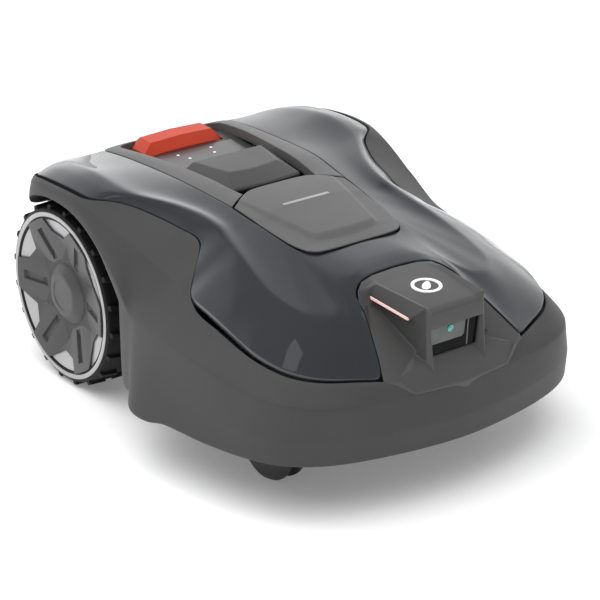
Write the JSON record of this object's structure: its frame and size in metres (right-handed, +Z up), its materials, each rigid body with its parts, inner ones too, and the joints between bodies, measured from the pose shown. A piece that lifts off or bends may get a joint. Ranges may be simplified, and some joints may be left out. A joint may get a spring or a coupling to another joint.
{
  "type": "robotic lawn mower",
  "caption": "Low four-wheeled robotic lawn mower with floating outer body, camera nose, stop bar, hinged cutting-height lid, large rear drive wheels and pivoting blades on a disc.",
  "frame": {"origin": "on the ground, at the middle of the width and of the length", "axes": "+Z up, -Y towards the nose (travel direction), +X towards the machine's left side"},
  "size_m": [0.43, 0.57, 0.227],
  "materials": {
    "matte_body": "fine moulded grain, matte",
    "painted_cover": "gloss dark grey",
    "satin_panel": "satin mid grey",
    "dark_tray": "satin dark grey",
    "keypad_gloss": "gloss membrane",
    "circuit_board": "solder mask",
    "pod_plastic": "fine grain, matte",
    "emblem_white": "printed white",
    "light_strip": "diffusing plastic",
    "window_glass": "smoked glass",
    "black_plastic": "matte",
    "lens_glass": "coated lens",
    "button_orange": "satin orange red",
    "lid_plastic": "satin dark grey",
    "steel": "zinc plated",
    "blade_steel": "ground steel",
    "motor_metal": "black enamel",
    "disc_plastic": "matte",
    "chassis_plastic": "moulded, matte",
    "rubber": "matte",
    "battery_case": "shrink wrapped pack",
    "contact_brass": "plated strip",
    "tyre_rubber": "matte rubber",
    "silver_disc": "satin silver",
    "hubcap_plastic": "satin dark grey",
    "caster_grey": "matte",
    "caster_rubber": "hard rubber"
  },
  "bodies": {
    "chassis": {"chassis_tub": "chassis_plastic", "chassis_lid": "chassis_plastic", "lid_seal": "rubber", "chassis_screws": "steel", "battery_pack": "battery_case", "battery_hatch": "chassis_plastic", "main_board": "circuit_board", "drive_motor_left": "motor_metal", "drive_motor_right": "motor_metal", "wheel_bearings": "steel", "caster_bushes": "black_plastic", "charging_contacts": "contact_brass", "guide_rods": "steel", "motor_leads": "rubber"},
    "float_frame": {"float_posts": "black_plastic", "post_boots": "rubber"},
    "outer_body": {"body_skirt": "matte_body", "top_cover": "painted_cover", "centre_panel": "satin_panel", "front_hatch": "satin_panel", "recess_tray": "dark_tray", "lid_hinge_pin": "steel", "keypad_panel": "keypad_gloss", "keypad_board": "circuit_board", "pod_housing": "matte_body", "pod_top": "pod_plastic", "pod_emblem": "emblem_white", "light_strips": "light_strip", "camera_window": "window_glass", "camera_module": "black_plastic", "camera_lens": "lens_glass", "post_sockets": "black_plastic"},
    "stop_button": {"stop_button": "button_orange", "stop_springs": "steel"},
    "height_lid": {"height_lid": "lid_plastic"},
    "height_knob": {"height_knob": "button_orange", "height_spindle": "steel"},
    "cutter_carriage": {"cutter_carriage": "black_plastic", "cutter_motor": "motor_metal"},
    "blade_disc": {"blade_disc": "disc_plastic", "blade_screws": "steel", "cutter_shaft": "steel"},
    "blade_1": {"blade_1": "blade_steel"},
    "blade_2": {"blade_2": "blade_steel"},
    "blade_3": {"blade_3": "blade_steel"},
    "skid_plate": {"skid_plate": "black_plastic"},
    "wheel_left": {"tyre_left": "tyre_rubber", "wheel_rim_left": "black_plastic", "wheel_disc_left": "silver_disc", "hubcap_left": "hubcap_plastic", "drive_shaft_left": "steel"},
    "wheel_right": {"tyre_right": "tyre_rubber", "wheel_rim_right": "black_plastic", "wheel_disc_right": "silver_disc", "hubcap_right": "hubcap_plastic", "drive_shaft_right": "steel"},
    "caster_arm_left": {"caster_arm_left": "caster_grey"},
    "caster_arm_right": {"caster_arm_right": "caster_grey"},
    "caster_wheel_left": {"caster_wheel_left": "caster_rubber"},
    "caster_wheel_right": {"caster_wheel_right": "caster_rubber"}
  },
  "joints": [
    {"name": "bump_slide", "type": "slide", "parent": "chassis", "child": "float_frame", "axis": [0, 1, 0], "range_m": [-0.004, 0.004], "stiffness_N_per_m": 2500},
    {"name": "body_lift", "type": "slide", "parent": "float_frame", "child": "outer_body", "axis": [0, 0, 1], "range_m": [0, 0.008]},
    {"name": "stop_press", "type": "slide", "parent": "outer_body", "child": "stop_button", "axis": [0, 0, -1], "range_m": [0, 0.004], "stiffness_N_per_m": 700, "springref_m": -0.003, "deforming": ["stop_springs"]},
    {"name": "lid_hinge", "type": "hinge", "parent": "outer_body", "child": "height_lid", "pos_m": [0, 0.104, 0.211], "axis": [-1, 0, 0], "range_deg": [0, 95]},
    {"name": "height_turn", "type": "hinge", "parent": "chassis", "child": "height_knob", "pos_m": [0, 0.067, 0.19], "axis": [0, 0, -1], "range_deg": [0, 270.1]},
    {"name": "height_slide", "type": "slide", "parent": "chassis", "child": "cutter_carriage", "axis": [0, 0, -1], "range_m": [0, 0.03]},
    {"name": "disc_spin", "type": "hinge", "parent": "cutter_carriage", "child": "blade_disc", "pos_m": [0, -0.02, 0.052], "axis": [0, 0, 1], "continuous": true},
    {"name": "skid_spin", "type": "hinge", "parent": "blade_disc", "child": "skid_plate", "pos_m": [0, -0.02, 0.045], "axis": [0, 0, 1], "continuous": true},
    {"name": "blade_1_pivot", "type": "hinge", "parent": "blade_disc", "child": "blade_1", "pos_m": [0, 0.056, 0.0506], "axis": [0, 0, 1], "continuous": true},
    {"name": "blade_2_pivot", "type": "hinge", "parent": "blade_disc", "child": "blade_2", "pos_m": [-0.06582, -0.058, 0.0506], "axis": [0, 0, 1], "continuous": true},
    {"name": "blade_3_pivot", "type": "hinge", "parent": "blade_disc", "child": "blade_3", "pos_m": [0.06582, -0.058, 0.0506], "axis": [0, 0, 1], "continuous": true},
    {"name": "wheel_spin_left", "type": "hinge", "parent": "chassis", "child": "wheel_left", "pos_m": [0.148, 0.141, 0.0945], "axis": [1, 0, 0], "continuous": true},
    {"name": "caster_swivel_left", "type": "hinge", "parent": "chassis", "child": "caster_arm_left", "pos_m": [0.116, -0.171, 0.09], "axis": [0, 0, 1], "continuous": true},
    {"name": "caster_roll_left", "type": "hinge", "parent": "caster_arm_left", "child": "caster_wheel_left", "pos_m": [0.116, -0.146, 0.036], "axis": [1, 0, 0], "continuous": true},
    {"name": "wheel_spin_right", "type": "hinge", "parent": "chassis", "child": "wheel_right", "pos_m": [-0.148, 0.141, 0.0945], "axis": [1, 0, 0], "continuous": true},
    {"name": "caster_swivel_right", "type": "hinge", "parent": "chassis", "child": "caster_arm_right", "pos_m": [-0.116, -0.171, 0.09], "axis": [0, 0, 1], "continuous": true},
    {"name": "caster_roll_right", "type": "hinge", "parent": "caster_arm_right", "child": "caster_wheel_right", "pos_m": [-0.116, -0.146, 0.036], "axis": [1, 0, 0], "continuous": true}
  ],
  "couplings": [
    {"joint": "height_turn", "follows": "height_slide", "rad_per_m": 157.08}
  ]
}
